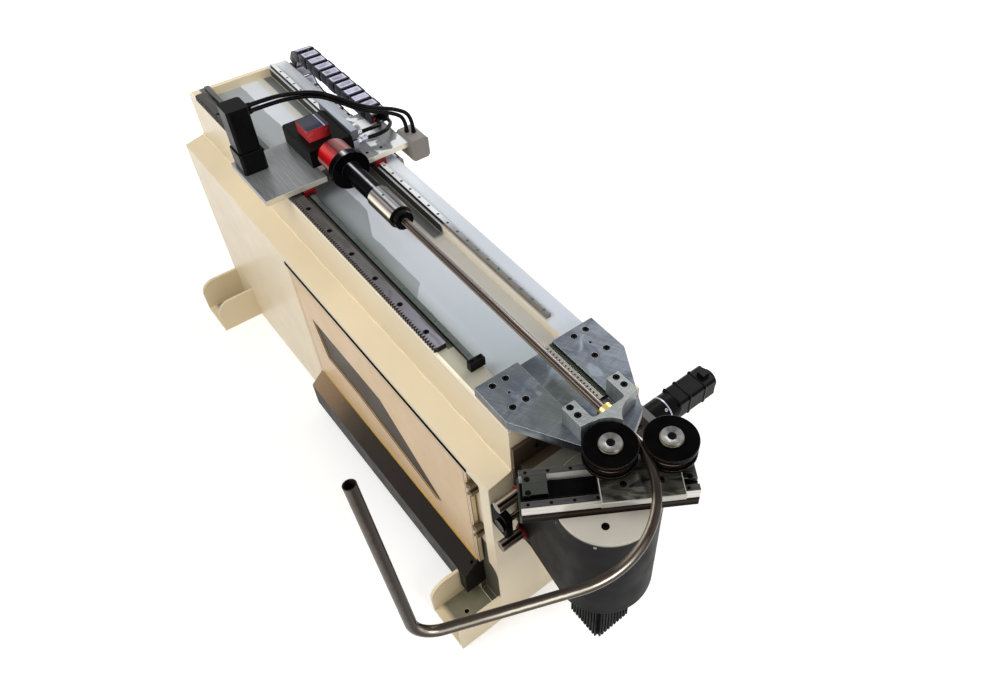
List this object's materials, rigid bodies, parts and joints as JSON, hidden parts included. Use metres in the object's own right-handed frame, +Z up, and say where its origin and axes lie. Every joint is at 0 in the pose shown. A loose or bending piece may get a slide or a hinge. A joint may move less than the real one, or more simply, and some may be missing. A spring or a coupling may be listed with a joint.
{
  "type": "cnc pipe bending machine",
  "caption": "CNC pipe bending machine: cream cabinet bed with a rail-borne feed carriage and chuck, ground front plate, and a swinging roller head that bends a steel tube.",
  "frame": {"origin": "centre of the four anchor holes, on the floor", "axes": "+X along the bed towards the bending head, +Y to the far side, +Z up"},
  "size_m": [2.7432, 1.3534, 1.7367],
  "materials": {
    "cream_paint": "smooth semi-gloss cream paint",
    "charcoal_paint": "satin charcoal paint",
    "rail_steel": "ground hardened steel",
    "rack_steel": "milled steel, oiled",
    "black_rubber": "matt black rubber",
    "ground_steel": "ground steel with fine swirl",
    "light_steel": "milled steel",
    "brass": "turned brass",
    "black_screws": "black oxide steel",
    "dark_grey_paint": "dark grey paint",
    "chrome_rods": "hard chrome, polished",
    "black_paint": "satin black paint",
    "grey_paint": "warm grey paint",
    "chain_plastic": "grey moulded plastic",
    "tube_steel": "drawn steel tube, oiled",
    "hinge_steel": "steel hinge",
    "dark_window": "dark smoked plastic",
    "grey_plate": "machined plate",
    "red_paint": "glossy red",
    "silver_metal": "turned silver metal",
    "black_steel": "polished black steel",
    "anthracite_paint": "smooth anthracite paint",
    "off_white_paint": "off-white paint",
    "dark_steel": "dark polished steel"
  },
  "bodies": {
    "frame": {"bed_frame": "cream_paint", "cabinet_shell": "cream_paint", "feet": "cream_paint", "side_skirt": "charcoal_paint", "linear_rails": "rail_steel", "feed_rack": "rack_steel", "rail_stop": "black_rubber", "front_base_plate": "cream_paint", "front_plate": "ground_steel", "guide_block": "light_steel", "guide_bush": "brass", "notched_strip": "light_steel", "socket_screws": "black_screws", "cross_slide_bracket": "dark_grey_paint", "cross_rods": "chrome_rods", "screw_bearing_block": "black_paint", "shift_bracket": "grey_paint", "shift_gearbox": "black_paint", "shift_servo": "black_paint", "chain_trough": "grey_paint", "cable_chain_lower": "chain_plastic", "workpiece_tube": "tube_steel", "door_hinges": "hinge_steel"},
    "door": {"door_leaf": "cream_paint", "door_window": "dark_window"},
    "carriage": {"carriage_plate": "grey_plate", "bearing_blocks": "rail_steel", "block_seals": "red_paint", "spindle_housing": "black_paint", "red_block": "red_paint", "front_ring": "red_paint", "clamp_cylinder": "silver_metal", "hose_fittings": "chrome_rods", "hoses_cables": "black_rubber", "end_box": "grey_paint", "feed_gearbox": "black_paint", "feed_servo": "black_paint", "cable_chain_upper": "chain_plastic"},
    "pinion": {"feed_pinion": "rack_steel"},
    "chuck": {"chuck_body": "black_steel", "chuck_sleeve": "silver_metal", "collet": "black_steel"},
    "chain_loop": {"cable_chain_loop": "chain_plastic"},
    "head": {"head_housing": "anthracite_paint", "slide_bushings": "brass", "rod_seals": "red_paint", "bend_motor": "black_paint"},
    "screw": {"shift_screw": "chrome_rods"},
    "arm": {"turntable_disc": "off_white_paint", "module_base": "black_paint", "module_rails": "rail_steel", "module_end_block": "grey_paint"},
    "roller_slide": {"roller_plate": "dark_steel", "module_blocks": "black_steel", "roller_shafts": "ground_steel"},
    "roller_1": {"roller_near": "black_steel", "hub_near": "silver_metal"},
    "roller_2": {"roller_far": "black_steel", "hub_far": "silver_metal"}
  },
  "joints": [
    {"name": "feed_slide", "type": "slide", "parent": "frame", "child": "carriage", "axis": [1, 0, 0], "range_m": [-0.3, 0.85], "deforming": ["cable_chain_upper", "cable_chain_lower"]},
    {"name": "feed_pinion_spin", "type": "hinge", "parent": "carriage", "child": "pinion", "pos_m": [-0.40097, -0.2494, 1.12], "axis": [0, 0, 1], "range_deg": [-440, 1230]},
    {"name": "chuck_spin", "type": "hinge", "parent": "carriage", "child": "chuck", "pos_m": [0, 0, 1.186], "axis": [1, 0, 0], "continuous": true},
    {"name": "chain_follow", "type": "slide", "parent": "frame", "child": "chain_loop", "axis": [1, 0, 0], "range_m": [-0.16, 0.44]},
    {"name": "head_shift", "type": "slide", "parent": "frame", "child": "head", "axis": [0, 1, 0], "range_m": [-0.025, 0], "deforming": ["workpiece_tube"]},
    {"name": "shift_screw_spin", "type": "hinge", "parent": "frame", "child": "screw", "pos_m": [1.15, 0, 0.757], "axis": [0, 1, 0], "range_deg": [-920, 20]},
    {"name": "bend_swing", "type": "hinge", "parent": "head", "child": "arm", "pos_m": [1.3967, -0.1025, 1.04], "axis": [0, 0, 1], "range_deg": [-95, 0], "deforming": ["workpiece_tube"]},
    {"name": "roller_adjust", "type": "slide", "parent": "arm", "child": "roller_slide", "axis": [0.5402, 0.8415, 0], "range_m": [-0.005, 0.005], "deforming": ["workpiece_tube"]},
    {"name": "roller_1_spin", "type": "hinge", "parent": "roller_slide", "child": "roller_1", "pos_m": [1.36438, -0.0751, 1.186], "axis": [0, 0, 1], "continuous": true},
    {"name": "roller_2_spin", "type": "hinge", "parent": "roller_slide", "child": "roller_2", "pos_m": [1.4516, 0.06261, 1.186], "axis": [0, 0, 1], "continuous": true},
    {"name": "door_hinge", "type": "hinge", "parent": "frame", "child": "door", "pos_m": [0.988, -0.308, 0.55], "axis": [0, 0, 1], "range_deg": [0, 105]}
  ],
  "couplings": [
    {"joint": "feed_pinion_spin", "follows": "feed_slide", "rad_per_m": 25},
    {"joint": "chain_follow", "follows": "feed_slide", "ratio": 0.5},
    {"joint": "shift_screw_spin", "follows": "head_shift", "rad_per_m": 628.32}
  ]
}
